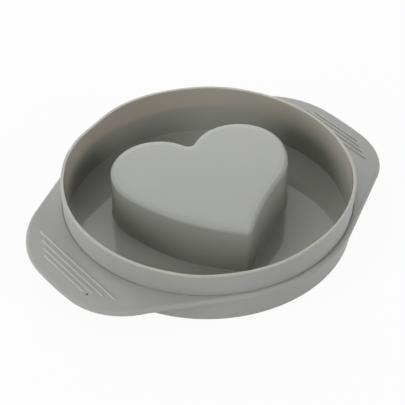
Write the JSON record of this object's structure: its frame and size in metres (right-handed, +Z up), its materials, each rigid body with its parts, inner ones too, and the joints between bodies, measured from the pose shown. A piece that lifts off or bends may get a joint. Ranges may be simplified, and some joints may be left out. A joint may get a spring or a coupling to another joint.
{
  "type": "silicone heart mould",
  "caption": "Round flexible cake mould with a raised heart in its middle, a flange and two drooping grip handles with ridges, in one piece.",
  "frame": {"origin": "on the pan's axis at the underside, which is the bottom centre of the bounding box", "axes": "+Z up out of the pan, X through both handles, Y from the heart's tip side to its notch side"},
  "size_m": [0.262, 0.207, 0.0399],
  "materials": {
    "silicone": "satin, with a gloss-moulded floor and heart"
  },
  "bodies": {
    "root": {"heart_mould": "silicone"}
  },
  "joints": []
}
